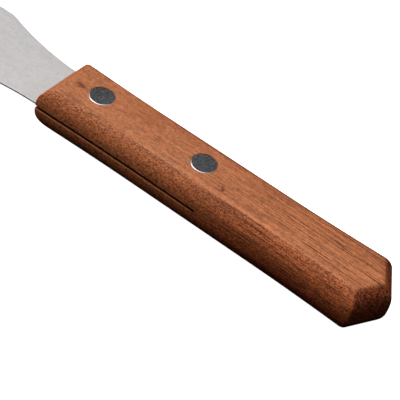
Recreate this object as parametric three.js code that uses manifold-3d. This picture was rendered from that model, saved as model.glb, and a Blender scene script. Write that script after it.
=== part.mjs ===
// Palette knife: a flexible steel blade whose half tang sits in a saw slot in a one-piece
// hardwood handle, held by two cutler's compression rivets.
//
// Millimetres. +X runs from the handle to the blade's tip, +Z is up and Y = 0 is the knife's
// plane of symmetry. While it is being built, X = 0 is the front edge of the handle's flat
// top and Z = 0 is the middle plane, where the blade lies. At the end the whole knife is
// moved so that its origin is on the handle's flat underside, below the middle of its length.

import * as THREE from 'three';
import { mergeVertices } from 'three/addons/utils/BufferGeometryUtils.js';
import Module from 'manifold-3d';

const wasm = await Module();
wasm.setup();

// ---------------------------------------------------------------- driving dimensions

const handle = {
  thickness: 15.6,
  flatLength: 109.8, // along the flat top, from its front edge to the point of its butt
  flatWidth: 15.2, // of the flat top at the waist
  gableDepth: 4.7, // how far the butt's point stands behind its two shoulders
  frontCrown: 4.65, // how far each face bulges at the middle plane, past the flat's edge
  sideCrown: 3.0,
  buttCrown: 3.5,
  crownPower: 3, // 2 is a parabola; more is squarer
  frontFlare: 0.55, // extra half width at the front end, and at the butt's shoulders
  rearFlare: 1.0,
  frontFlareShare: 0.29, // share of the length over which each flare dies away
  rearFlareShare: 0.34,
  frontCornerRadius: 0.4,
  buttCornerRadius: 1.2,
};

const slot = {
  width: 1.0,
  length: 54.1, // from the front edge of the flat to where the cut leaves the side
  sawRadius: 90,
};

const blade = {
  heelThickness: 0.6,
  tipThickness: 0.4,
  exposedLength: 127, // from the front of the wood to the tip
  width: 32.2,
  neckWidth: 20.2,
  neckStart: 3, // where the neck begins to widen, just inside the wood
  neckRadius: 95,
  shoulderRadius: 8, // from the widening neck to the blade's long edge
  tangLength: 53.6, // behind X = 0
  tangEndWidth: 15,
  tangCornerRadius: 2,
};

const rivet = {
  firstX: -10.6,
  pitch: 37.5,
  headRadius: 4,
  headThickness: 1.8,
  edgeRadius: 0.35,
  recess: 0.05, // how far each head's face lies below the wood
  tubeRadius: 2.5,
  boreRadius: 1.7,
  boreFloor: 2.6, // depth of the tube's blind end below its head's face
  pinRadius: 1.55,
  pinTipGap: 0.6, // between the pin's tip and that blind end
  tipChamfer: 0.4,
};

const headClearance = 0.15; // round and under each rivet head
const shankClearance = 0.25; // round the tube, in the wood and in the tang
const cutMargin = 5; // how far a cutting tool runs past the face it cuts

const halfThickness = handle.thickness / 2;
const rivetStations = [
  { name: 'front', x: rivet.firstX },
  { name: 'rear', x: rivet.firstX - rivet.pitch },
];

// ---------------------------------------------------------------- materials

const hardwood = new THREE.MeshStandardMaterial({ color: '#a86a45', roughness: 0.55, metalness: 0 });
const bladeSteel = new THREE.MeshStandardMaterial({ color: '#c9c8c6', roughness: 0.35, metalness: 1 });
const rivetSteel = new THREE.MeshStandardMaterial({ color: '#77787b', roughness: 0.3, metalness: 1 });

// ---------------------------------------------------------------- solids and cuts

/** A manifold solid from a closed three.js geometry. */
function toSolid(geometry) {
  const bare = geometry.clone();
  bare.deleteAttribute('normal');
  bare.deleteAttribute('uv');
  const merged = mergeVertices(bare, 1e-4);
  return new wasm.Manifold(new wasm.Mesh({
    numProp: 3,
    vertProperties: new Float32Array(merged.attributes.position.array),
    triVerts: new Uint32Array(merged.index.array),
  }));
}

/** A three.js geometry from a manifold solid. */
function toGeometry(solid) {
  const mesh = solid.getMesh();
  const geometry = new THREE.BufferGeometry();
  geometry.setAttribute('position', new THREE.BufferAttribute(new Float32Array(mesh.vertProperties), 3));
  geometry.setIndex(new THREE.BufferAttribute(new Uint32Array(mesh.triVerts), 1));
  geometry.computeVertexNormals();
  return geometry;
}

/** A plan shape in X and Y, raised evenly about the middle plane. */
function plate(shape, height, curveSegments = 32) {
  const options = { depth: height, bevelEnabled: false, curveSegments };
  return toSolid(new THREE.ExtrudeGeometry(shape, options).translate(0, 0, -height / 2));
}

/** An upright cylinder between two heights. */
function drill(radius, x, low, high) {
  const geometry = new THREE.CylinderGeometry(radius, radius, high - low, 48);
  geometry.rotateX(Math.PI / 2).translate(x, 0, (low + high) / 2);
  return toSolid(geometry);
}

/** Points of the arc that rounds a corner between two straight legs. */
function roundedCorner(before, corner, after, radius, steps = 5) {
  const legIn = before.clone().sub(corner).normalize();
  const legOut = after.clone().sub(corner).normalize();
  const half = Math.acos(legIn.dot(legOut)) / 2;
  const bisector = legIn.clone().add(legOut).normalize();
  const centre = corner.clone().addScaledVector(bisector, radius / Math.sin(half));
  const setback = radius / Math.tan(half);
  const from = corner.clone().addScaledVector(legIn, setback).sub(centre);
  const to = corner.clone().addScaledVector(legOut, setback).sub(centre);
  const turn = Math.atan2(from.cross(to), from.dot(to));
  return Array.from({ length: steps + 1 }, (_, i) => (
    from.clone().rotateAround(new THREE.Vector2(), turn * i / steps).add(centre)
  ));
}

// ---------------------------------------------------------------- handle

/** Extra half width at a distance behind the front edge: the handle is slightly waisted. */
function flare(distance) {
  const frontReach = handle.frontFlareShare * handle.flatLength;
  const rearReach = handle.rearFlareShare * handle.flatLength;
  const nearFront = Math.max(0, 1 - distance / frontReach);
  const nearButt = Math.max(0, 1 - (handle.flatLength - distance) / rearReach);
  return handle.frontFlare * nearFront ** 2 + handle.rearFlare * nearButt ** 2;
}

/** Distances behind the front edge where the sides have points: only where they curve. */
function sideStations(shoulderDistance) {
  const steps = 5;
  const frontEnd = handle.frontFlareShare * handle.flatLength;
  const rearStart = (1 - handle.rearFlareShare) * handle.flatLength;
  const nearFront = Array.from({ length: steps }, (_, i) => frontEnd * (i + 1) / steps);
  const nearButt = Array.from({ length: steps }, (_, i) => (
    rearStart + (shoulderDistance - rearStart) * i / steps
  ));
  return [...nearFront, ...nearButt];
}

/**
 * The handle's outline in plan at one height above the middle plane. Point i and the i-th
 * point from the end mirror each other in Y, and the butt's point lies in the middle.
 */
function handleOutline(height) {
  const crownShare = 1 - Math.abs(height / halfThickness) ** handle.crownPower;
  const shoulderDistance = handle.flatLength - handle.gableDepth;
  const halfWidth = (distance) => (
    handle.flatWidth / 2 + handle.sideCrown * crownShare + flare(distance)
  );
  const flatShoulder = handle.flatWidth / 2 + flare(shoulderDistance);
  const slope = handle.gableDepth / flatShoulder;
  const apexX = -handle.flatLength - handle.buttCrown * crownShare * Math.hypot(1, slope);
  const shoulderY = halfWidth(shoulderDistance);

  const front = new THREE.Vector2(handle.frontCrown * crownShare, halfWidth(0));
  const shoulder = new THREE.Vector2(apexX + slope * shoulderY, shoulderY);
  const apex = new THREE.Vector2(apexX, 0);
  const mirrored = (point) => new THREE.Vector2(point.x, -point.y);

  const side = sideStations(shoulderDistance).map((distance) => (
    new THREE.Vector2(-distance, halfWidth(distance))
  ));
  const nearHalf = [
    ...roundedCorner(mirrored(front), front, side[0], handle.frontCornerRadius),
    ...side,
    ...roundedCorner(side.at(-1), shoulder, apex, handle.buttCornerRadius),
  ];
  const point = roundedCorner(shoulder, apex, mirrored(shoulder), handle.buttCornerRadius, 6);
  return [...nearHalf, ...point, ...nearHalf.map(mirrored).reverse()];
}

/** A closed skin through rings of equally many mirrored points, one ring at each height. */
function loft(heights, outlineAt) {
  const rings = heights.map(outlineAt);
  const count = rings[0].length;
  const positions = [];
  rings.forEach((ring, level) => {
    ring.forEach((point) => positions.push(point.x, point.y, heights[level]));
  });
  const triangles = [];
  for (let level = 0; level + 1 < rings.length; level += 1) {
    for (let i = 0; i < count; i += 1) {
      const a = level * count + i;
      const b = level * count + (i + 1) % count;
      triangles.push(a, b, b + count, a, b + count, a + count);
    }
  }
  // Each flat end is a ladder between the two mirrored halves, down to the point.
  const topStart = (rings.length - 1) * count;
  for (let i = 0; i + 1 < count / 2; i += 1) {
    const mirror = count - 1 - i;
    triangles.push(mirror, i + 1, i);
    triangles.push(topStart + i, topStart + i + 1, topStart + mirror);
    if (i + 1 < mirror - 1) {
      triangles.push(mirror, mirror - 1, i + 1);
      triangles.push(topStart + i + 1, topStart + mirror - 1, topStart + mirror);
    }
  }
  const geometry = new THREE.BufferGeometry();
  geometry.setAttribute('position', new THREE.Float32BufferAttribute(positions, 3));
  geometry.setIndex(triangles);
  return geometry;
}

/** The saw slot in plan: straight sides, and an end left by the round saw blade. */
function slotShape() {
  const openX = handle.frontCrown + cutMargin;
  const halfWidth = handle.flatWidth / 2 + handle.sideCrown + handle.rearFlare + cutMargin;
  const sideY = handle.flatWidth / 2 + handle.sideCrown;
  const centreX = -slot.length + Math.sqrt(slot.sawRadius ** 2 - sideY ** 2);
  const endAngle = Math.asin(halfWidth / slot.sawRadius);
  const shape = new THREE.Shape();
  shape.moveTo(openX, -halfWidth);
  shape.lineTo(openX, halfWidth);
  shape.absarc(centreX, 0, slot.sawRadius, Math.PI - endAngle, Math.PI + endAngle, false);
  shape.closePath();
  return shape;
}

function makeHandle() {
  const upperLevels = [0.28, 0.48, 0.64, 0.77, 0.89, 1];
  const levels = [...upperLevels.map((share) => -share).reverse(), 0, ...upperLevels];
  const heights = levels.map((share) => share * halfThickness);
  let wood = toSolid(loft(heights, handleOutline));
  wood = wood.subtract(plate(slotShape(), slot.width));
  const pocketFloor = halfThickness - rivet.recess - rivet.headThickness - headClearance;
  const outside = halfThickness + cutMargin;
  for (const { x } of rivetStations) {
    wood = wood.subtract(drill(rivet.tubeRadius + shankClearance, x, -outside, outside));
    wood = wood.subtract(drill(rivet.headRadius + headClearance, x, pocketFloor, outside));
    wood = wood.subtract(drill(rivet.headRadius + headClearance, x, -outside, -pocketFloor));
  }
  return toGeometry(wood);
}

// ---------------------------------------------------------------- blade and tang

/** The blade and its tang in plan, with the two rivet holes. */
function bladeShape() {
  const tipX = handle.frontCrown + blade.exposedLength;
  const halfWidth = blade.width / 2;
  const halfNeck = blade.neckWidth / 2;
  const halfTangEnd = blade.tangEndWidth / 2;

  // The neck's arc turns outward through one angle and the shoulder's arc turns back through
  // the same angle. Between them they widen the blade from the neck to its full width.
  const bothRadii = blade.neckRadius + blade.shoulderRadius;
  const neckTurn = Math.acos(1 - (halfWidth - halfNeck) / bothRadii);
  const shoulderX = blade.neckStart + bothRadii * Math.sin(neckTurn);
  const shoulderY = halfWidth - blade.shoulderRadius;
  const tipStartX = tipX - halfWidth;

  const shape = new THREE.Shape();
  shape.moveTo(-blade.tangLength, -halfTangEnd + blade.tangCornerRadius);
  shape.lineTo(-blade.tangLength, halfTangEnd - blade.tangCornerRadius);
  shape.quadraticCurveTo(
    -blade.tangLength, halfTangEnd, -blade.tangLength + blade.tangCornerRadius, halfTangEnd,
  );
  shape.lineTo(blade.neckStart, halfNeck);
  shape.absarc(
    blade.neckStart, halfNeck + blade.neckRadius, blade.neckRadius,
    -Math.PI / 2, -Math.PI / 2 + neckTurn, false,
  );
  shape.absarc(
    shoulderX, shoulderY, blade.shoulderRadius,
    Math.PI / 2 + neckTurn, Math.PI / 2, true,
  );
  shape.absarc(tipStartX, 0, halfWidth, Math.PI / 2, -Math.PI / 2, true);
  shape.absarc(
    shoulderX, -shoulderY, blade.shoulderRadius,
    -Math.PI / 2, -Math.PI / 2 - neckTurn, true,
  );
  shape.absarc(
    blade.neckStart, -halfNeck - blade.neckRadius, blade.neckRadius,
    Math.PI / 2 - neckTurn, Math.PI / 2, false,
  );
  shape.lineTo(-blade.tangLength + blade.tangCornerRadius, -halfTangEnd);
  shape.quadraticCurveTo(
    -blade.tangLength, -halfTangEnd, -blade.tangLength, -halfTangEnd + blade.tangCornerRadius,
  );
  for (const { x } of rivetStations) {
    const hole = new THREE.Path();
    hole.absarc(x, 0, rivet.tubeRadius + shankClearance, 0, 2 * Math.PI, false);
    shape.holes.push(hole);
  }
  return shape;
}

/** The blade's side view: even thickness as far as the heel, then thinner to the tip. */
function thicknessProfile() {
  const heelX = handle.frontCrown;
  const tipX = heelX + blade.exposedLength + cutMargin;
  const tangX = -blade.tangLength - cutMargin;
  const heel = blade.heelThickness / 2;
  const tip = blade.tipThickness / 2;
  return new THREE.Shape([
    new THREE.Vector2(tangX, -heel),
    new THREE.Vector2(heelX, -heel),
    new THREE.Vector2(tipX, -tip),
    new THREE.Vector2(tipX, tip),
    new THREE.Vector2(heelX, heel),
    new THREE.Vector2(tangX, heel),
  ]);
}

function makeBlade() {
  const plan = plate(bladeShape(), 2 * blade.heelThickness);
  const span = blade.width + 2 * cutMargin;
  const side = new THREE.ExtrudeGeometry(thicknessProfile(), { depth: span, bevelEnabled: false });
  side.translate(0, 0, -span / 2).rotateX(Math.PI / 2);
  return toGeometry(plan.intersect(toSolid(side)));
}

// ---------------------------------------------------------------- rivets

/** Profile of a rivet head with a rounded rim, from its face's centre to its underside. */
function headProfile() {
  const steps = 4;
  const points = [new THREE.Vector2(0, 0)];
  for (let i = 0; i <= steps; i += 1) {
    const angle = (Math.PI / 2) * (1 - i / steps);
    points.push(new THREE.Vector2(
      rivet.headRadius - rivet.edgeRadius * (1 - Math.cos(angle)),
      -rivet.edgeRadius * (1 - Math.sin(angle)),
    ));
  }
  points.push(new THREE.Vector2(rivet.headRadius, -rivet.headThickness));
  return points;
}

/** Turns a profile (radius, height) about +Z; it runs from the top of the axis downward. */
function turned(profile) {
  const geometry = new THREE.LatheGeometry([...profile].reverse(), 48);
  return geometry.rotateX(Math.PI / 2);
}

/** The tubular half: its face is at height 0 and its tube hangs down. */
function makeTubeHalf() {
  const faceToFace = handle.thickness - 2 * rivet.recess;
  const tubeEnd = -(faceToFace - rivet.headThickness - headClearance);
  const profile = [
    ...headProfile(),
    new THREE.Vector2(rivet.tubeRadius, -rivet.headThickness),
    new THREE.Vector2(rivet.tubeRadius, tubeEnd),
    new THREE.Vector2(rivet.boreRadius, tubeEnd),
    new THREE.Vector2(rivet.boreRadius, -rivet.boreFloor),
    new THREE.Vector2(0, -rivet.boreFloor),
  ];
  return turned(profile);
}

/** The solid half: its face is at height 0 and its pin hangs down, before it is turned over. */
function makePinHalf() {
  const faceToFace = handle.thickness - 2 * rivet.recess;
  const pinEnd = -(faceToFace - rivet.boreFloor - rivet.pinTipGap);
  const profile = [
    ...headProfile(),
    new THREE.Vector2(rivet.pinRadius, -rivet.headThickness),
    new THREE.Vector2(rivet.pinRadius, pinEnd + rivet.tipChamfer),
    new THREE.Vector2(rivet.pinRadius - rivet.tipChamfer, pinEnd),
    new THREE.Vector2(0, pinEnd),
  ];
  return turned(profile);
}

// ---------------------------------------------------------------- assembly

function named(name, geometry, material) {
  const mesh = new THREE.Mesh(geometry, material);
  mesh.name = name;
  return mesh;
}

const knife = new THREE.Group();
knife.add(named('handle', makeHandle(), hardwood));
knife.add(named('blade', makeBlade(), bladeSteel));

const faceHeight = halfThickness - rivet.recess;
for (const { name, x } of rivetStations) {
  const tube = named(`${name}_rivet_tube`, makeTubeHalf(), rivetSteel);
  tube.position.set(x, 0, faceHeight);
  const pin = named(`${name}_rivet_pin`, makePinHalf(), rivetSteel);
  pin.position.set(x, 0, -faceHeight);
  pin.rotation.x = Math.PI;
  knife.add(tube, pin);
}

const extent = new THREE.Box3().setFromObject(knife);
knife.position.set(-(extent.min.x + extent.max.x) / 2, 0, halfThickness);

export default knife;
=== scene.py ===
"""Palette knife: the looks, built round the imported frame. Lengths are in metres.

The handle, the blade and the four rivet halves are rebuilt here as fine meshes with the CAD
model's sizes, with softened edges, and every surface gets a procedural material.
"""

import math

import bmesh
import bpy
from mathutils import Matrix, Quaternion, Vector


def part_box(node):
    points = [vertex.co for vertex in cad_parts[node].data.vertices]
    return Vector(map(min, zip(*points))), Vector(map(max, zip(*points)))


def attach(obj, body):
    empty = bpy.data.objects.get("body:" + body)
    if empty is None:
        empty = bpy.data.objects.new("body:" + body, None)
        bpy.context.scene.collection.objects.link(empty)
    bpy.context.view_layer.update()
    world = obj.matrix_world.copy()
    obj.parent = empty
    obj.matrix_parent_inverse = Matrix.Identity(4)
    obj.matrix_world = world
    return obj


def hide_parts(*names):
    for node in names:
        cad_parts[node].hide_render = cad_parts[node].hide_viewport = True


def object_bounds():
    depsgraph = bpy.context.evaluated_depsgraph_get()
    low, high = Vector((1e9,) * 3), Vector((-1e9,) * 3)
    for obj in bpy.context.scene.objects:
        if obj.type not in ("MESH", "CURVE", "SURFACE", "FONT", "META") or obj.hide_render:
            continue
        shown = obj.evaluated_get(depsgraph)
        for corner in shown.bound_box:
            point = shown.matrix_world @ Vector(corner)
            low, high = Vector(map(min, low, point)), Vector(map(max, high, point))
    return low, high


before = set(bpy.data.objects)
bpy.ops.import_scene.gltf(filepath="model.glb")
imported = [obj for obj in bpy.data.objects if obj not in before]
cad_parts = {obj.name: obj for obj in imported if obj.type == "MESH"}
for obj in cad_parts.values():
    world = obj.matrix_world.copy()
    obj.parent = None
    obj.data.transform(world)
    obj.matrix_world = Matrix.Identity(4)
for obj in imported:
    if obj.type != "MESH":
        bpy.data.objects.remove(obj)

MM = 0.001

CAD_LOW, CAD_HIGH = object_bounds()
HANDLE_LOW, HANDLE_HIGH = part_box("handle")
BLADE_LOW, BLADE_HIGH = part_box("blade")

# ------------------------------------------------------------------ sizes, as in the CAD model

THICKNESS = HANDLE_HIGH.z - HANDLE_LOW.z
HALF_THICKNESS = THICKNESS / 2
MIDDLE_Z = HANDLE_LOW.z + HALF_THICKNESS

FRONT_CROWN = 4.65 * MM
SIDE_CROWN = 3.0 * MM
BUTT_CROWN = 3.5 * MM
CROWN_POWER = 3
FLAT_HALF_WIDTH = 7.6 * MM
FLAT_LENGTH = 109.8 * MM
GABLE_DEPTH = 4.7 * MM
FRONT_FLARE = 0.55 * MM
REAR_FLARE = 1.0 * MM
FRONT_FLARE_SHARE = 0.29
REAR_FLARE_SHARE = 0.34
FRONT_CORNER_RADIUS = 0.4 * MM
BUTT_CORNER_RADIUS = 1.2 * MM
# The crease between the flat and the crown is rounded off: this far down from the flat, and
# this far in from each edge of it. Near the front end the side creases are worn softer.
CREASE_DROP = 0.45 * MM
FRONT_CREASE = 0.3 * MM
SIDE_CREASE = 0.16 * MM
BUTT_CREASE = 0.3 * MM
WORN_CREASE = 0.9 * MM
WORN_LENGTH = 24 * MM

EXPOSED_LENGTH = 127 * MM
FLAT_FRONT_X = BLADE_HIGH.x - EXPOSED_LENGTH - FRONT_CROWN

SLOT_WIDTH = 1.0 * MM
SLOT_LENGTH = 54.1 * MM
SAW_RADIUS = 90 * MM
# The slot's lower lip is worn into a bevel: this far down and this far in. The upper lip is
# nearly crisp. Both bevels fade out over the last stretch before the slot's end.
LIP_DROP = 0.45 * MM
LIP_INSET = 0.17 * MM
UPPER_LIP = 0.06 * MM
LIP_FADE = 4 * MM

NECK_START = 3.0 * MM
NECK_HALF_WIDTH = 10.1 * MM
NECK_RADIUS = 95 * MM
SHOULDER_RADIUS = 8 * MM
TANG_LENGTH = 53.6 * MM
TANG_END_HALF_WIDTH = 7.5 * MM
TANG_CORNER_RADIUS = 2 * MM
HEEL_THICKNESS = BLADE_HIGH.z - BLADE_LOW.z
TIP_THICKNESS = 0.4 * MM
BLADE_HALF_WIDTH = (BLADE_HIGH.y - BLADE_LOW.y) / 2
# The blade's broad faces roll off toward the edge over this width, by this depth, and end in
# a small rounding.
EDGE_BAND = 0.9 * MM
EDGE_DROP = 0.03 * MM
EDGE_ROUND = 0.02 * MM

RIVETS = ("front", "rear")
HEAD_RADIUS = 4.0 * MM
HEAD_THICKNESS = 1.8 * MM
HEAD_RIM = 0.5 * MM
HEAD_RIM_TURN = math.radians(48)
HEAD_DOME = 0.02 * MM
HEAD_GAP = 0.04 * MM
POCKET_DEPTH = HEAD_THICKNESS + 0.3 * MM
TUBE_RADIUS = 2.5 * MM
BORE_RADIUS = 1.7 * MM
BORE_FLOOR = 2.6 * MM
PIN_RADIUS = 1.55 * MM
PIN_CHAMFER = 0.4 * MM
SHANK_GAP = 0.25 * MM

# The drills reach this far past the surface, and the slot's cutter at least this far.
OVERRUN = 2 * MM


# ------------------------------------------------------------------ meshes

# Points this near a ring's straight end belong to the one face that closes that end.
END_FACE_DEPTH = 0.1 * MM


def spread(start, end, steps):
    """Evenly spaced numbers from start to end, both included."""
    return [start + (end - start) * i / steps for i in range(steps + 1)]


def new_object(name, points, faces):
    """A mesh object whose faces all point outward."""
    mesh = bpy.data.meshes.new(name)
    mesh.from_pydata([tuple(p) for p in points], [], faces)
    shell = bmesh.new()
    shell.from_mesh(mesh)
    bmesh.ops.recalc_face_normals(shell, faces=shell.faces)
    shell.to_mesh(mesh)
    shell.free()
    piece = bpy.data.objects.new(name, mesh)
    bpy.context.scene.collection.objects.link(piece)
    return piece


def subtract(piece, cutter):
    """Cuts the cutter out of the piece and removes the cutter."""
    cut = piece.modifiers.new("cut", "BOOLEAN")
    cut.operation = "DIFFERENCE"
    cut.solver = "EXACT"
    cut.object = cutter
    bpy.context.view_layer.update()
    evaluated = piece.evaluated_get(bpy.context.evaluated_depsgraph_get())
    result = bpy.data.meshes.new_from_object(evaluated)
    piece.modifiers.clear()
    old = piece.data
    piece.data = result
    bpy.data.meshes.remove(old)
    bpy.data.objects.remove(cutter)


def smooth(piece, sharp_angle=35):
    """Smooth shading, with true edges wherever two faces meet at more than the angle."""
    piece.data.shade_smooth()
    piece.data.set_sharp_from_angle(angle=math.radians(sharp_angle))


def rounded_corner(before, corner, after, radius, steps):
    """Points of the arc that rounds a corner between two straight legs, in plan."""
    leg_in = (before - corner).normalized()
    leg_out = (after - corner).normalized()
    half = leg_in.angle(leg_out) / 2
    centre = corner + (leg_in + leg_out).normalized() * (radius / math.sin(half))
    setback = radius / math.tan(half)
    first = corner + leg_in * setback - centre
    last = corner + leg_out * setback - centre
    turn = math.atan2(first.x * last.y - first.y * last.x, first.dot(last))
    points = []
    for angle in spread(0, turn, steps):
        spoke = first.copy()
        spoke.rotate(Matrix.Rotation(angle, 2))
        points.append(centre + spoke)
    return points


def ladder_faces(start, ring, face_up):
    """Faces across a ring whose point i mirrors its i-th point from the end.

    The ring starts on a straight end, and the first face takes all the points of that end.
    """
    count = len(ring)
    i = 1
    while abs(ring[i][0] - ring[0][0]) < END_FACE_DEPTH:
        i += 1
    end_face = [start + k for k in (*range(i + 1), *range(count - 1 - i, count))]
    faces = [end_face if face_up else end_face[::-1]]
    while i + 1 < count / 2:
        mirror = count - 1 - i
        face = [start + i, start + i + 1, start + mirror - 1, start + mirror]
        if i + 1 == mirror - 1:
            face = [start + i, start + i + 1, start + mirror]
        faces.append(face if face_up else face[::-1])
        i += 1
    return faces


def loft(name, rings):
    """A closed skin through rings of mirrored points, from the lowest ring to the highest."""
    count = len(rings[0])
    points = [point for ring in rings for point in ring]
    faces = []
    for level in range(len(rings) - 1):
        for i in range(count):
            a = level * count + i
            b = level * count + (i + 1) % count
            faces.append([a, b, b + count, a + count])
    faces += ladder_faces(0, rings[0], False)
    faces += ladder_faces((len(rings) - 1) * count, rings[-1], True)
    return new_object(name, points, faces)


def mirrored(point):
    return Vector((point.x, -point.y))


def arc(centre_x, centre_y, radius, start, end, steps):
    """Points round part of a circle in plan, with angles counted from +Y toward +X."""
    return [
        Vector((centre_x + radius * math.sin(angle), centre_y + radius * math.cos(angle)))
        for angle in spread(start, end, steps)]


def turned(name, profile, place, segments=96):
    """Turns a profile of (radius, height) about an upright axis. It starts and ends on it."""
    points = [(0, 0, profile[0][1])]
    for radius, height in profile[1:-1]:
        for k in range(segments):
            angle = 2 * math.pi * k / segments
            points.append((radius * math.cos(angle), radius * math.sin(angle), height))
    points.append((0, 0, profile[-1][1]))
    last = len(points) - 1
    faces = []
    for k in range(segments):
        following = (k + 1) % segments
        faces.append([0, 1 + k, 1 + following])
        for ring in range(len(profile) - 3):
            here = 1 + ring * segments
            below = here + segments
            faces.append([here + k, below + k, below + following, here + following])
        here = 1 + (len(profile) - 3) * segments
        faces.append([here + k, last, here + following])
    piece = new_object(name, points, faces)
    piece.data.transform(place)
    return piece


def drill(x, profile):
    """An upright turned solid, used only for cutting. The profile goes from high to low."""
    closed = [(0, profile[0][1]), *profile, (0, profile[-1][1])]
    return turned("drill", closed, Matrix.Translation((x, 0, 0)))


# ------------------------------------------------------------------ handle

def flare(distance):
    """Extra half width at a distance behind the front edge of the flat."""
    near_front = max(0, 1 - distance / (FRONT_FLARE_SHARE * FLAT_LENGTH))
    near_butt = max(0, 1 - (FLAT_LENGTH - distance) / (REAR_FLARE_SHARE * FLAT_LENGTH))
    return FRONT_FLARE * near_front ** 2 + REAR_FLARE * near_butt ** 2


def handle_outline(bulge, ease=0):
    """The plan outline where the crown has this share of its full bulge.

    Ease runs from 0 to 1 over the rounded crease and draws the outline in over the flat.
    """
    front = FRONT_CROWN * bulge - FRONT_CREASE * ease
    butt = BUTT_CROWN * bulge - BUTT_CREASE * ease
    shoulder_distance = FLAT_LENGTH - GABLE_DEPTH

    def half_width(distance):
        worn = WORN_CREASE * max(0, 1 - distance / WORN_LENGTH) ** 2
        side = SIDE_CROWN * bulge - (SIDE_CREASE + worn) * ease
        return FLAT_HALF_WIDTH + side + flare(distance)

    slope = GABLE_DEPTH / (FLAT_HALF_WIDTH + flare(shoulder_distance))
    apex = Vector((-FLAT_LENGTH - butt * math.hypot(1, slope), 0))
    shoulder_y = half_width(shoulder_distance)
    shoulder = Vector((apex.x + slope * shoulder_y, shoulder_y))
    front_corner = Vector((front, half_width(0)))
    distances = spread(0, shoulder_distance, 56)[1:-1]
    side_points = [Vector((-d, half_width(d))) for d in distances]
    front_edge = [Vector((front, front_corner.y * share / 6)) for share in range(1, 6)]
    butt_face = [shoulder.lerp(apex, share / 6) for share in range(1, 6)]
    front_round = rounded_corner(
        mirrored(front_corner), front_corner, side_points[0], FRONT_CORNER_RADIUS, 8)
    shoulder_round = rounded_corner(side_points[-1], shoulder, apex, BUTT_CORNER_RADIUS, 8)
    point = rounded_corner(shoulder, apex, mirrored(shoulder), BUTT_CORNER_RADIUS, 8)
    half = front_edge + front_round + side_points + shoulder_round + butt_face
    return half + point + [mirrored(p) for p in reversed(half)]


def crown_rings():
    """(height, bulge, ease) for each ring of the upper half, as handle_outline takes them.

    The crown meets the flat at a crease, and the last rings round that crease off.
    """
    start = HALF_THICKNESS - CREASE_DROP
    start_bulge = 1 - (start / HALF_THICKNESS) ** CROWN_POWER
    slope = -CROWN_POWER * start ** (CROWN_POWER - 1) / HALF_THICKNESS ** CROWN_POWER
    corner_bulge = start_bulge + slope * CREASE_DROP
    rings = [(0, 1, 0)]
    for share in spread(0, 1, 14)[1:]:
        height = start * share
        rings.append((height, 1 - (height / HALF_THICKNESS) ** CROWN_POWER, 0))
    for t in spread(0, 1, 8)[1:]:
        height = HALF_THICKNESS - CREASE_DROP * (1 - t) ** 2
        bulge = start_bulge * (1 - t) ** 2 + corner_bulge * 2 * t * (1 - t)
        rings.append((height, bulge, t ** 2))
    return rings


def handle_blank():
    """The shaped wood before its slot and holes are cut."""
    upper = crown_rings()
    lower = [(-height, bulge, ease) for height, bulge, ease in reversed(upper[1:])]
    rings = []
    for height, bulge, ease in lower + upper:
        outline = handle_outline(bulge, ease)
        z = MIDDLE_Z + height
        rings.append([(FLAT_FRONT_X + p.x, p.y, z) for p in outline])
    return loft("handle_wood", rings)


def slot_end_x(y):
    """Where the saw cut ends at a distance from the middle: an arc of the round saw blade."""
    side_y = FLAT_HALF_WIDTH + SIDE_CROWN
    centre_x = FLAT_FRONT_X - SLOT_LENGTH + math.sqrt(SAW_RADIUS ** 2 - side_y ** 2)
    return centre_x - math.sqrt(SAW_RADIUS ** 2 - y ** 2)


def slot_cutter():
    """The saw cut: a flat slab that is open past the handle's front and both its sides."""
    reach = FLAT_HALF_WIDTH + SIDE_CROWN + 2 * OVERRUN
    open_x = HANDLE_HIGH.x + 2 * OVERRUN
    end = [(slot_end_x(y), y) for y in spread(reach, -reach, 24)]
    outline = [(open_x, -reach), (open_x, reach)] + end
    count = len(outline)
    points = [(x, y, MIDDLE_Z - SLOT_WIDTH / 2) for x, y in outline]
    points += [(x, y, MIDDLE_Z + SLOT_WIDTH / 2) for x, y in outline]
    faces = [list(range(count))[::-1], list(range(count, 2 * count))]
    for i in range(count):
        following = (i + 1) % count
        faces.append([i, following, following + count, i + count])
    return new_object("slot_cutter", points, faces)


def lip_cutter():
    """A ridge that runs round the slot's mouth and breaks its two sharp lips."""
    outline = handle_outline(1)
    path = [p for p in outline if FLAT_FRONT_X + p.x > slot_end_x(p.y)]
    far = [p for p in path if p.y < 0]
    near = [p for p in path if p.y > 0]
    path = far + near
    half = SLOT_WIDTH / 2
    reach = 1.0 * MM
    points = []
    for i, here in enumerate(path):
        before = path[max(i - 1, 0)]
        after = path[min(i + 1, len(path) - 1)]
        along = (after - before).normalized()
        outward = Vector((along.y, -along.x))
        fade = min(1, (FLAT_FRONT_X + here.x - slot_end_x(here.y)) / LIP_FADE)
        inset, upper = LIP_INSET * fade, UPPER_LIP * fade
        section = [
            (-inset, -half),
            (reach, -half - (inset + reach) * LIP_DROP / LIP_INSET),
            (reach, half + upper + reach),
            (-upper, half),
        ]
        for out, up in section:
            place = here + outward * out
            points.append((FLAT_FRONT_X + place.x, place.y, MIDDLE_Z + up))
    sides = 4
    faces = [list(range(sides))[::-1]]
    for i in range(len(path) - 1):
        for k in range(sides):
            a = i * sides + k
            b = i * sides + (k + 1) % sides
            faces.append([a, b, b + sides, a + sides])
    last = (len(path) - 1) * sides
    faces.append(list(range(last, last + sides)))
    return new_object("lip_cutter", points, faces)


def rivet_x(name):
    low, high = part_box(f"{name}_rivet_tube")
    return (low.x + high.x) / 2


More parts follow.
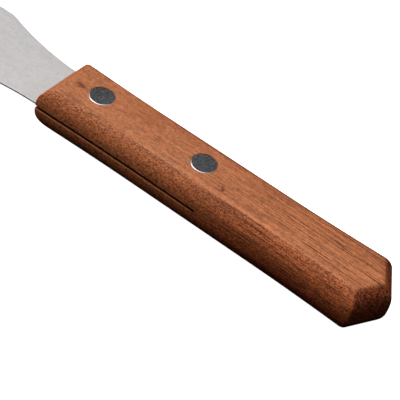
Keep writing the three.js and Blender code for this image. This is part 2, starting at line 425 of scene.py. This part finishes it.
def make_handle(material):
    wood = handle_blank()
    subtract(wood, slot_cutter())
    subtract(wood, lip_cutter())
    head = HEAD_RADIUS + HEAD_GAP
    shank = TUBE_RADIUS + SHANK_GAP
    upper_floor = HANDLE_HIGH.z - POCKET_DEPTH
    lower_floor = HANDLE_LOW.z + POCKET_DEPTH
    hole = [
        (head, HANDLE_HIGH.z + OVERRUN), (head, upper_floor), (shank, upper_floor),
        (shank, lower_floor), (head, lower_floor), (head, HANDLE_LOW.z - OVERRUN)]
    for name in RIVETS:
        subtract(wood, drill(rivet_x(name), hole))
    smooth(wood, 30)
    wood.data.materials.clear()
    wood.data.materials.append(material)
    finish_piece(wood, "handle")


# ------------------------------------------------------------------ blade

def blade_outline():
    """The whole plan outline in mirrored order: from the tang's end to the tip and back."""
    both = NECK_RADIUS + SHOULDER_RADIUS
    turn = math.acos(1 - (BLADE_HALF_WIDTH - NECK_HALF_WIDTH) / both)
    shoulder_x = NECK_START + both * math.sin(turn)
    shoulder_y = BLADE_HALF_WIDTH - SHOULDER_RADIUS
    tip_x = BLADE_HIGH.x - FLAT_FRONT_X
    tip_start = tip_x - BLADE_HALF_WIDTH
    tang_end = -TANG_LENGTH
    corner_x = tang_end + TANG_CORNER_RADIUS
    corner_y = TANG_END_HALF_WIDTH - TANG_CORNER_RADIUS
    neck_y = NECK_HALF_WIDTH + NECK_RADIUS
    quarter = math.pi / 2
    tang_side = Vector((corner_x, TANG_END_HALF_WIDTH))
    neck = Vector((NECK_START, NECK_HALF_WIDTH))
    half = [Vector((tang_end, TANG_END_HALF_WIDTH * share / 6)) for share in range(1, 5)]
    half += arc(corner_x, corner_y, TANG_CORNER_RADIUS, -quarter, 0, 6)
    half += [tang_side.lerp(neck, share) for share in spread(0, 1, 24)[1:]]
    half += arc(NECK_START, neck_y, NECK_RADIUS, math.pi, math.pi - turn, 40)[1:]
    half += arc(shoulder_x, shoulder_y, SHOULDER_RADIUS, -turn, 0, 10)[1:]
    half += [Vector((x, BLADE_HALF_WIDTH)) for x in spread(shoulder_x, tip_start, 50)[1:]]
    half += arc(tip_start, 0, BLADE_HALF_WIDTH, 0, quarter, 32)[1:-1]
    return half + [Vector((tip_x, 0))] + [mirrored(p) for p in reversed(half)]


def blade_thickness(x):
    """Even as far as the heel, then thinner to the tip. x is measured from the flat."""
    heel = FRONT_CROWN
    tip = BLADE_HIGH.x - FLAT_FRONT_X
    share = min(max((x - heel) / (tip - heel), 0), 1)
    return HEEL_THICKNESS + (TIP_THICKNESS - HEEL_THICKNESS) * share


def blade_rings(outline):
    """Closed loops from the lower broad face, round the edge, to the upper broad face."""
    count = len(outline)
    inward = []
    for i, here in enumerate(outline):
        along = (outline[(i + 1) % count] - outline[i - 1]).normalized()
        inward.append(Vector((along.y, -along.x)))
    # Inset from the outline, and drop below the broad face, for each loop of the upper half.
    loops = []
    for angle in spread(0, math.pi / 2, 5):
        loops.append((
            EDGE_ROUND * (1 - math.cos(angle)),
            EDGE_DROP + EDGE_ROUND * (1 - math.sin(angle))))
    for share in spread(0, 1, 5)[1:]:
        inset = EDGE_ROUND + (EDGE_BAND - EDGE_ROUND) * share
        loops.append((inset, EDGE_DROP * (1 - share) ** 2))
    rings = []
    for side, order in ((-1, loops[::-1]), (1, loops)):
        for inset, drop in order:
            ring = []
            for here, inner in zip(outline, inward):
                p = here + inner * inset
                z = MIDDLE_Z + side * (blade_thickness(here.x) / 2 - drop)
                ring.append((FLAT_FRONT_X + p.x, p.y, z))
            rings.append(ring)
    return rings


def make_blade(material):
    blade = loft("blade_steel", blade_rings(blade_outline()))
    hole_radius = TUBE_RADIUS + SHANK_GAP
    hole = [(hole_radius, BLADE_HIGH.z + OVERRUN), (hole_radius, BLADE_LOW.z - OVERRUN)]
    for name in RIVETS:
        subtract(blade, drill(rivet_x(name), hole))
    smooth(blade, 50)
    blade.data.materials.clear()
    blade.data.materials.append(material)
    finish_piece(blade, "blade")


# ------------------------------------------------------------------ rivets

def head_profile():
    """From the centre of a slightly domed face, round the rim, to the head's underside."""
    profile = [(0, 0)]
    flat_radius = HEAD_RADIUS - HEAD_RIM * math.sin(HEAD_RIM_TURN)
    for share in spread(0, 1, 6)[1:]:
        profile.append((flat_radius * share, -HEAD_DOME * share ** 2))
    for angle in spread(0, HEAD_RIM_TURN, 12)[1:]:
        profile.append((
            flat_radius + HEAD_RIM * math.sin(angle),
            -HEAD_DOME - HEAD_RIM * (1 - math.cos(angle))))
    profile.append((HEAD_RADIUS, -HEAD_THICKNESS))
    return profile


def make_rivet(name, material):
    """The tubular half hangs down from the top, and the pin half stands up inside it."""
    x = rivet_x(name)
    tube_low, tube_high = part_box(f"{name}_rivet_tube")
    pin_low, pin_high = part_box(f"{name}_rivet_pin")
    tube_length = tube_high.z - tube_low.z
    tube_profile = head_profile() + [
        (TUBE_RADIUS, -HEAD_THICKNESS), (TUBE_RADIUS, -tube_length),
        (BORE_RADIUS, -tube_length), (BORE_RADIUS, -BORE_FLOOR), (0, -BORE_FLOOR)]
    pin_length = pin_high.z - pin_low.z
    pin_profile = head_profile() + [
        (PIN_RADIUS, -HEAD_THICKNESS), (PIN_RADIUS, -pin_length + PIN_CHAMFER),
        (PIN_RADIUS - PIN_CHAMFER, -pin_length), (0, -pin_length)]
    upright = Matrix.Translation((x, 0, tube_high.z))
    turned_over = Matrix.Translation((x, 0, pin_low.z)) @ Matrix.Rotation(math.pi, 4, "X")
    halves = (("tube", tube_profile, upright), ("pin", pin_profile, turned_over))
    for half, profile, place in halves:
        piece = turned(f"{name}_rivet_{half}_steel", profile, place)
        smooth(piece, 40)
        piece.data.materials.append(material)
        finish_piece(piece, f"{name}_rivet_{half}")


def finish_piece(piece, node):
    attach(piece, "root")
    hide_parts(node)


# ------------------------------------------------------------------ materials

class Shader:
    """A small helper that adds nodes to one material and links them by name."""

    def __init__(self, name):
        self.material = bpy.data.materials.new(name)
        self.material.use_nodes = True
        self.tree = self.material.node_tree
        self.tree.nodes.clear()
        self.output = self.tree.nodes.new("ShaderNodeOutputMaterial")
        self.surface = self.tree.nodes.new("ShaderNodeBsdfPrincipled")
        self.tree.links.new(self.surface.outputs[0], self.output.inputs["Surface"])
        coordinates = self.tree.nodes.new("ShaderNodeTexCoord")
        self.place = coordinates.outputs["Object"]

    def link(self, source, socket):
        self.tree.links.new(source, socket)

    def feed(self, value, socket):
        """Links an output to a socket, or sets the socket to a constant."""
        if isinstance(value, bpy.types.NodeSocket):
            self.link(value, socket)
        else:
            socket.default_value = value

    def math(self, operation, first, second=0.0, third=0.0):
        node = self.tree.nodes.new("ShaderNodeMath")
        node.operation = operation
        for value, socket in zip((first, second, third), node.inputs):
            self.feed(value, socket)
        return node.outputs[0]

    def stretched(self, per_mm, offset=(0, 0, 0)):
        """Object coordinates scaled so that one unit is 1 / per_mm millimetres on each axis."""
        node = self.tree.nodes.new("ShaderNodeMapping")
        self.link(self.place, node.inputs["Vector"])
        node.inputs["Scale"].default_value = [value / MM for value in per_mm]
        node.inputs["Location"].default_value = offset
        return node.outputs[0]

    def noise(self, vector, detail=2.0, roughness=0.5, distortion=0.0):
        node = self.tree.nodes.new("ShaderNodeTexNoise")
        self.link(vector, node.inputs["Vector"])
        node.inputs["Scale"].default_value = 1
        node.inputs["Detail"].default_value = detail
        node.inputs["Roughness"].default_value = roughness
        node.inputs["Distortion"].default_value = distortion
        return node.outputs["Fac"]

    def ramp(self, value, low, high, out_low=0.0, out_high=1.0):
        """Maps low..high to out_low..out_high smoothly, and holds it outside."""
        node = self.tree.nodes.new("ShaderNodeMapRange")
        node.interpolation_type = "SMOOTHSTEP"
        self.feed(value, node.inputs["Value"])
        limits = {"From Min": low, "From Max": high, "To Min": out_low, "To Max": out_high}
        for name, number in limits.items():
            node.inputs[name].default_value = number
        return node.outputs["Result"]

    def mix(self, share, first, second, blend="MIX"):
        node = self.tree.nodes.new("ShaderNodeMix")
        node.data_type = "RGBA"
        node.blend_type = blend
        self.feed(share, node.inputs["Factor"])
        colours = [socket for socket in node.inputs if socket.type == "RGBA"]
        for value, socket in zip((first, second), colours):
            if isinstance(value, tuple):
                value = (*value, 1)
            self.feed(value, socket)
        return next(socket for socket in node.outputs if socket.type == "RGBA")

    def toned(self, colour, tone, depth):
        """Makes the colour lighter or darker by up to the depth as the tone runs -1 to 1."""
        node = self.tree.nodes.new("ShaderNodeVectorMath")
        node.operation = "SCALE"
        self.link(colour, node.inputs[0])
        self.link(self.math("MULTIPLY_ADD", tone, depth, 1.0), node.inputs["Scale"])
        return node.outputs[0]

    def bump(self, height, distance):
        node = self.tree.nodes.new("ShaderNodeBump")
        node.inputs["Distance"].default_value = distance
        self.link(height, node.inputs["Height"])
        return node.outputs[0]

    def separated(self, vector):
        node = self.tree.nodes.new("ShaderNodeSeparateXYZ")
        self.link(vector, node.inputs[0])
        return node.outputs

    def facing(self, axis):
        """How squarely the smooth surface faces along X, Y or Z, from 0 to 1."""
        node = self.tree.nodes.new("ShaderNodeNewGeometry")
        return self.math("ABSOLUTE", self.separated(node.outputs["Normal"])[axis])

    def distance_to(self, point, stretch):
        """Distance from a point, in millimetres, with each axis multiplied by its stretch."""
        subtract_node = self.tree.nodes.new("ShaderNodeVectorMath")
        subtract_node.operation = "SUBTRACT"
        self.link(self.place, subtract_node.inputs[0])
        subtract_node.inputs[1].default_value = point
        scale_node = self.tree.nodes.new("ShaderNodeVectorMath")
        scale_node.operation = "MULTIPLY"
        self.link(subtract_node.outputs[0], scale_node.inputs[0])
        scale_node.inputs[1].default_value = [value / MM for value in stretch]
        length = self.tree.nodes.new("ShaderNodeVectorMath")
        length.operation = "LENGTH"
        self.link(scale_node.outputs[0], length.inputs[0])
        return length.outputs["Value"]

    def times(self, *factors):
        product = factors[0]
        for factor in factors[1:]:
            product = self.math("MULTIPLY", product, factor)
        return product


# The top of the handle is made from these three, and its sides from the next three.
WOOD_LIGHT = (0.378, 0.130, 0.051)
WOOD_MIDDLE = (0.340, 0.113, 0.043)
WOOD_RED = (0.275, 0.075, 0.026)
WOOD_SIDE = (0.405, 0.119, 0.038)
WOOD_SIDE_REAR = (0.425, 0.103, 0.028)
# Painted shade for the lower sides.
WOOD_LOW_SIDE_SHADE = (0.170, 0.024, 0.008)
WOOD_PORE = (0.075, 0.013, 0.004)
WOOD_SAWN = (0.430, 0.097, 0.031)
WOOD_SAWN_PORE = (0.050, 0.010, 0.004)
# Painted shade for the inside of the slot.
WOOD_SLOT_SHADE = (0.050, 0.012, 0.005)
# Partly wear and partly a painted highlight on the +Y creases, and a painted highlight on the slot's
# bevels.
WOOD_WEAR_AND_HIGHLIGHT = (0.52, 0.205, 0.095)
WOOD_EDGE = (0.200, 0.045, 0.014)
SMUDGE = (0.13, 0.030, 0.009)
FLECK = (0.13, 0.014, 0.006)

STEEL_DARK = (0.518, 0.515, 0.509)
STEEL_LIGHT = (0.574, 0.550, 0.545)
# The rivet faces are painted darker than bare steel, a painted reflection of dark surroundings, and
# their rims lighter, a painted highlight.
RIVET_DARK = (0.24, 0.242, 0.255)
RIVET_LIGHT = (0.34, 0.343, 0.355)
RIVET_RIM_HIGHLIGHT = (0.50, 0.505, 0.52)

# Small marks on the upper face: millimetres behind the flat's front edge and across it, how
# many times narrower than MARK_REACH each is along X, Y and Z, how ragged it is, how strong,
# and its colour. A mark is full strength within MARK_CORE. Both reaches are in millimetres.
MARK_CORE = 0.3
MARK_REACH = 1.5
MARKS = (
    (3.7, 1.0, (0.55, 1.1, 1.0), 1.6, 0.95, SMUDGE),
    (2.0, 1.5, (0.25, 0.7, 1.0), 2.0, 0.22, SMUDGE),
    (4.6, 7.6, (0.27, 0.8, 0.8), 1.6, 0.35, SMUDGE),
    (26.5, -2.5, (0.2, 0.42, 1.0), 1.2, 0.45, WOOD_RED),
    (58.1, 4.9, (1.5, 2.0, 1.0), 1.0, 1.0, FLECK),
    (57.4, 3.9, (2.6, 3.2, 1.0), 0.6, 0.9, FLECK),
)


class Wood(Shader):
    """Oiled hardwood, built up in layers that know where on the handle a point lies."""

    def __init__(self, name):
        super().__init__(name)
        self.x, self.y, self.z = self.separated(self.place)[:3]
        self.upright = self.facing(2)
        self.side = self.ramp(self.upright, 0.66, 0.92, 1.0, 0.0)
        self.rear = self.behind(30 * MM, 85 * MM)
        self.figure = self.noise(self.stretched((0.035, 0.22, 0.22), (0.4, 0, 0)), 3.0, 0.5, 0.5)
        self.flecks = self.noise(self.stretched((0.7, 1.9, 1.9), (2, 8, 3)), 3.0, 0.75)
        self.specks = self.noise(self.stretched((1.6, 2.8, 2.8), (1, 9, 4)), 2.0, 0.7)

    def behind(self, start, end):
        """Rises from 0 to 1 between two distances behind the flat's front edge."""
        return self.ramp(self.x, FLAT_FRONT_X - end, FLAT_FRONT_X - start, 1.0, 0.0)

    def body_colour(self):
        """Broad figure, with redder sides and long redder bands, painted shade over the -Y half, and
        painted shade low on the sides.
        """
        colour = self.mix(self.ramp(self.figure, 0.35, 0.65), WOOD_MIDDLE, WOOD_LIGHT)
        side_colour = self.mix(self.rear, WOOD_SIDE, WOOD_SIDE_REAR)
        colour = self.mix(self.times(self.side, 0.85), colour, side_colour)
        bands = self.noise(self.stretched((0.02, 0.75, 0.75), (3, 7, 1)), 3.0, 0.6, 0.2)
        strength = self.math("MULTIPLY_ADD", self.rear, 0.25, 0.2)
        banded = self.times(self.ramp(bands, 0.46, 0.66), strength)
        # Painted shade: the -Y half is reddened a little more, on top of the redder bands.
        far = self.ramp(self.y, -8 * MM, 2 * MM, 1.0, 0.0)
        colour = self.mix(self.math("MULTIPLY_ADD", far, 0.18, banded), colour, WOOD_RED)
        # Painted shade low on the sides, darkest toward the butt.
        low = self.ramp(self.z, MIDDLE_Z - 4 * MM, MIDDLE_Z + 3 * MM, 0.85, 0.0)
        shade_toward_butt = self.math("MULTIPLY_ADD", self.rear, 0.75, 0.25)
        return self.mix(self.times(low, shade_toward_butt, self.side), colour, WOOD_LOW_SIDE_SHADE)

    def grain_tone(self):
        """How much the grain lightens a point, or darkens it where the tone is below 0."""
        # Fibres run the length of the handle as close, sharp lines.
        fibres = self.noise(self.stretched((0.055, 2.1, 2.1), (5, 3, 2)), 3.0, 0.8)
        strength = self.math("MULTIPLY_ADD", self.rear, 0.5, 0.3)
        fibre = self.times(self.ramp(fibres, 0.38, 0.62, -1.0, 1.0), strength)
        fleck = self.times(self.ramp(self.flecks, 0.36, 0.64, -1.0, 1.0), 0.6)
        # On the rounded sides the fibres are cut through at a slant and show as close speckle.
        strength = self.ramp(self.upright, 0.80, 0.99, 1.0, 0.35)
        speck = self.times(self.ramp(self.specks, 0.40, 0.60, -1.0, 1.0), strength)
        tone = self.math("ADD", self.math("ADD", fibre, fleck), speck)
        # The flats are a little lighter toward the butt.
        flat_rear = self.times(self.rear, self.ramp(self.upright, 0.85, 1.0, 0.0, 0.28))
        return self.math("ADD", tone, flat_rear)

    def pore_share(self):
        """Open pores are long thin tubes: dark dashes along the grain, and specks on the sides."""
        dashes = self.noise(self.stretched((0.045, 2.3, 2.3), (11, 2, 5)), 2.0, 0.7)
        strength = self.math("MULTIPLY_ADD", self.rear, 0.65, 0.14)
        dash_share = self.times(self.ramp(dashes, 0.56, 0.64), strength)
        speck_share = self.times(self.ramp(self.specks, 0.42, 0.30), self.side, 0.55)
        return self.math("MAXIMUM", dash_share, speck_share)

    def end_grain(self, colour):
        """End grain at the butt drinks more oil and shows the pores as dots."""
        dots = self.noise(self.stretched((0.5, 2.0, 2.0), (6, 1, 8)), 2.0, 0.8)
        end_colour = self.mix(self.ramp(dots, 0.42, 0.58), WOOD_SAWN, WOOD_SAWN_PORE)
        sawn = self.ramp(self.facing(0), 0.36, 0.68)
        return self.mix(self.times(sawn, self.behind(80 * MM, 100 * MM)), colour, end_colour)

    def flare_share(self, start_x, reach):
        """Falls from 1 at start_x to 0 a signed reach behind it, by the flare's square law."""
        nearness = self.math("MULTIPLY_ADD", self.x, -1 / reach, 1 + start_x / reach)
        return self.math("POWER", self.math("MAXIMUM", nearness, 0.0), 2.0)

    def inset_from_crease(self):
        """How far in from the flat's side edge a point lies, with the handle's own flare."""
        front = self.flare_share(FLAT_FRONT_X, -FRONT_FLARE_SHARE * FLAT_LENGTH)
        butt = self.flare_share(FLAT_FRONT_X - FLAT_LENGTH, REAR_FLARE_SHARE * FLAT_LENGTH)
        half_width = self.math("MULTIPLY_ADD", front, FRONT_FLARE, FLAT_HALF_WIDTH)
        half_width = self.math("MULTIPLY_ADD", butt, REAR_FLARE, half_width)
        return self.math("SUBTRACT", half_width, self.math("ABSOLUTE", self.y))

    def creases(self, colour):
        """The +Y creases are painted a little lighter, in specks, partly wear and partly a painted
        highlight, and the -Y creases are given a darker, oilier line. Both start behind the front
        rivet.
        """
        inset = self.inset_from_crease()
        raised = self.times(self.behind(18 * MM, 38 * MM), self.ramp(self.upright, 0.72, 0.86))
        near_side = self.ramp(self.y, 0.0, 1 * MM, 0.0, 0.75)
        speckled = self.ramp(self.specks, 0.40, 0.60, 0.2, 1.0)
        # Partly wear and partly a painted highlight along the +Y creases.
        worn = self.times(raised, self.ramp(inset, 0.8 * MM, 0.1 * MM), near_side, speckled)
        colour = self.mix(worn, colour, WOOD_WEAR_AND_HIGHLIGHT)
        far_side = self.ramp(self.y, 0.0, -1 * MM, 0.0, 0.85)
        oiled = self.times(raised, self.ramp(inset, 0.8 * MM, 0.45 * MM), far_side)
        return self.mix(oiled, colour, WOOD_EDGE)

    def slot_colours(self, colour):
        """Painted shade darkens the inside of the slot, and a painted highlight lightens its
        upward-facing bevels.
        """
        height = self.math("ABSOLUTE", self.math("SUBTRACT", self.z, MIDDLE_Z))
        centre_x = slot_end_x(0) + SAW_RADIUS
        from_centre = self.distance_to((centre_x, 0, 0), (1, 1, 0))
        cut = self.ramp(from_centre, SAW_RADIUS / MM + 0.02, SAW_RADIUS / MM + 0.05, 1.0, 0.0)
        cut = self.math("MAXIMUM", cut, self.ramp(self.x, centre_x, centre_x + 1 * MM))
        half = SLOT_WIDTH / 2
        inside = self.ramp(height, half + 0.005 * MM, half + 0.02 * MM, 1.0, 0.0)
        # Painted shade inside the slot.
        colour = self.mix(self.times(inside, cut), colour, WOOD_SLOT_SHADE)
        # Painted highlight on the slot's upward-facing bevels.
        bevel = self.times(
            cut,
            self.ramp(self.upright, 0.18, 0.28),
            self.ramp(height, 1.0 * MM, 0.9 * MM),
            self.ramp(inside, 0.0, 1.0, 0.8, 0.0))
        return self.mix(bevel, colour, WOOD_WEAR_AND_HIGHLIGHT)

    def small_marks(self, colour):
        for behind_front, across, stretch, fuzz, share, mark_colour in MARKS:
            place = (FLAT_FRONT_X - behind_front * MM, across * MM, HANDLE_HIGH.z)
            ragged = self.math("MULTIPLY_ADD", self.flecks, fuzz, -fuzz / 2)
            away = self.math("ADD", self.distance_to(place, stretch), ragged)
            mark = self.ramp(away, MARK_CORE, MARK_REACH, share, 0.0)
            colour = self.mix(mark, colour, mark_colour)
        return colour


def wood_material():
    wood = Wood("oiled_hardwood")
    tone = wood.grain_tone()
    pores = wood.pore_share()
    colour = wood.toned(wood.body_colour(), tone, 0.42)
    colour = wood.mix(pores, colour, WOOD_PORE)
    colour = wood.end_grain(colour)
    colour = wood.creases(colour)
    colour = wood.slot_colours(colour)
    colour = wood.small_marks(colour)
    wood.link(colour, wood.surface.inputs["Base Color"])
    roughness = wood.ramp(wood.figure, 0.3, 0.7, 0.46, 0.6)
    wood.link(wood.math("MULTIPLY_ADD", pores, 0.3, roughness), wood.surface.inputs["Roughness"])
    wood.surface.inputs["Specular IOR Level"].default_value = 0.25
    relief = wood.math("MULTIPLY_ADD", pores, -1.0, wood.times(tone, 0.35))
    wood.link(wood.bump(relief, 0.05 * MM), wood.surface.inputs["Normal"])
    return wood.material


def blade_material():
    shader = Shader("satin_steel")
    mottle = shader.noise(shader.stretched((0.55, 0.8, 0.8)), 4.0, 0.8, 0.6)
    grind = shader.noise(shader.stretched((0.06, 5.0, 1.0)), 3.0, 0.6)
    cloud = shader.noise(shader.stretched((0.06, 0.09, 0.09), (2, 5, 0)), 2.0, 0.5)
    colour = shader.mix(shader.ramp(mottle, 0.42, 0.58), STEEL_DARK, STEEL_LIGHT)
    colour = shader.toned(colour, shader.ramp(cloud, 0.3, 0.7, -1.0, 1.0), 0.02)
    shader.link(colour, shader.surface.inputs["Base Color"])
    shader.surface.inputs["Metallic"].default_value = 1
    shader.link(shader.ramp(grind, 0.3, 0.7, 0.70, 0.78), shader.surface.inputs["Roughness"])
    shader.link(shader.bump(grind, 0.006 * MM), shader.surface.inputs["Normal"])
    return shader.material


def rivet_material():
    shader = Shader("polished_rivet_steel")
    scratches = shader.noise(shader.stretched((2.4, 0.7, 1.0)), 4.0, 0.65)
    pits = shader.noise(shader.stretched((3.2, 3.2, 3.2), (4, 4, 4)), 2.0, 0.6)
    tarnish = shader.math("MULTIPLY_ADD", pits, 0.5, shader.math("MULTIPLY", scratches, 0.5))
    colour = shader.mix(shader.ramp(tarnish, 0.38, 0.62), RIVET_DARK, RIVET_LIGHT)
    # Painted highlight round the rim of each head.
    rim = shader.ramp(shader.facing(2), 0.93, 0.993, 1.0, 0.0)
    colour = shader.mix(rim, colour, RIVET_RIM_HIGHLIGHT)
    shader.link(colour, shader.surface.inputs["Base Color"])
    shader.surface.inputs["Metallic"].default_value = 1
    roughness = shader.ramp(tarnish, 0.35, 0.65, 0.2, 0.32)
    shader.link(shader.math("MULTIPLY_ADD", rim, 0.16, roughness), shader.surface.inputs["Roughness"])
    shader.link(shader.bump(tarnish, 0.004 * MM), shader.surface.inputs["Normal"])
    return shader.material


# ------------------------------------------------------------------ camera, floor and light

FLOOR_REACH = 6.0
FLOOR_GAP = 0.1 * MM
FLOOR_GLOW = 1.0
SKY = 0.16
LIGHT_DISTANCE = 0.9


def make_camera():
    """Looks down at the handle from its +Y side, past the butt, and is rolled to the right."""
    aim = Vector((FLAT_FRONT_X - 55.94 * MM, 12.92 * MM, HANDLE_HIGH.z))
    azimuth = math.radians(-155.675)
    elevation = math.radians(43.588)
    roll = math.radians(16.557)
    distance = 382.2 * MM
    back = Vector((
        math.sin(azimuth) * math.cos(elevation),
        -math.cos(azimuth) * math.cos(elevation),
        math.sin(elevation),
    ))
    camera = bpy.data.objects.new("camera", bpy.data.cameras.new("camera"))
    camera.data.sensor_width = 36
    camera.data.lens = 124.66
    camera.data.clip_start = 10 * MM
    camera.data.clip_end = 20
    camera.location = aim + back * distance
    camera.rotation_mode = "QUATERNION"
    level = (-back).to_track_quat("-Z", "Y")
    camera.rotation_quaternion = level @ Quaternion((0, 0, 1), roll)
    bpy.context.scene.collection.objects.link(camera)
    bpy.context.scene.camera = camera


def make_floor():
    """A pale floor that glows white to the camera and sheds no light on the knife."""
    reach = FLOOR_REACH
    corners = [(-reach, -reach, 0), (reach, -reach, 0), (reach, reach, 0), (-reach, reach, 0)]
    floor = new_object("floor", corners, [[0, 1, 2, 3]])
    floor.location.z = CAD_LOW.z - FLOOR_GAP
    shader = Shader("pale_floor")
    shader.surface.inputs["Base Color"].default_value = (0.86, 0.86, 0.86, 1)
    shader.surface.inputs["Roughness"].default_value = 0.9
    shader.surface.inputs["Emission Color"].default_value = (1, 1, 1, 1)
    shader.surface.inputs["Emission Strength"].default_value = FLOOR_GLOW
    floor.data.materials.append(shader.material)
    floor.visible_diffuse = False
    floor.visible_glossy = False


def soft_box(name, azimuth, elevation, half_spread, irradiance):
    """A round soft box that faces the handle.

    The azimuth is counted from +X toward +Y. The half spread is the angle from the middle of
    the box to its edge, seen from the handle, and the irradiance is in watts per square metre
    on a surface that faces it.
    """
    aim = Vector((FLAT_FRONT_X - FLAT_LENGTH / 2, 0, HANDLE_HIGH.z))
    toward = Vector((
        math.cos(azimuth) * math.cos(elevation),
        math.sin(azimuth) * math.cos(elevation),
        math.sin(elevation),
    ))
    data = bpy.data.lights.new(name, "AREA")
    data.shape = "DISK"
    data.size = 2 * LIGHT_DISTANCE * math.tan(half_spread)
    data.energy = irradiance * math.pi * (LIGHT_DISTANCE / math.cos(half_spread)) ** 2
    light = bpy.data.objects.new(name, data)
    light.location = aim + toward * LIGHT_DISTANCE
    light.rotation_mode = "QUATERNION"
    light.rotation_quaternion = toward.to_track_quat("Z", "Y")
    bpy.context.scene.collection.objects.link(light)


def make_world():
    """A dim sky that fades out toward the horizon, and nothing below it."""
    world = bpy.data.worlds.new("sky")
    world.use_nodes = True
    tree = world.node_tree
    background = tree.nodes["Background"]
    background.inputs["Color"].default_value = (1, 1, 1, 1)
    direction = tree.nodes.new("ShaderNodeTexCoord")
    split = tree.nodes.new("ShaderNodeSeparateXYZ")
    fade = tree.nodes.new("ShaderNodeMapRange")
    fade.inputs["From Min"].default_value = 0.1
    fade.inputs["From Max"].default_value = 0.7
    fade.inputs["To Max"].default_value = SKY
    tree.links.new(direction.outputs["Generated"], split.inputs[0])
    tree.links.new(split.outputs["Z"], fade.inputs["Value"])
    tree.links.new(fade.outputs["Result"], background.inputs["Strength"])
    bpy.context.scene.world = world


def make_lights():
    """One soft box nearly overhead and a second that looks down from past the blade."""
    degrees = math.radians
    soft_box("overhead_box", degrees(19), degrees(78), degrees(28), 1.75)
    soft_box("front_box", degrees(8), degrees(47), degrees(24), 2.3)
    make_world()
    bpy.context.scene.view_settings.view_transform = "Standard"


make_camera()
make_floor()
make_lights()
make_handle(wood_material())
make_blade(blade_material())
steel = rivet_material()
for rivet_name in RIVETS:
    make_rivet(rivet_name, steel)
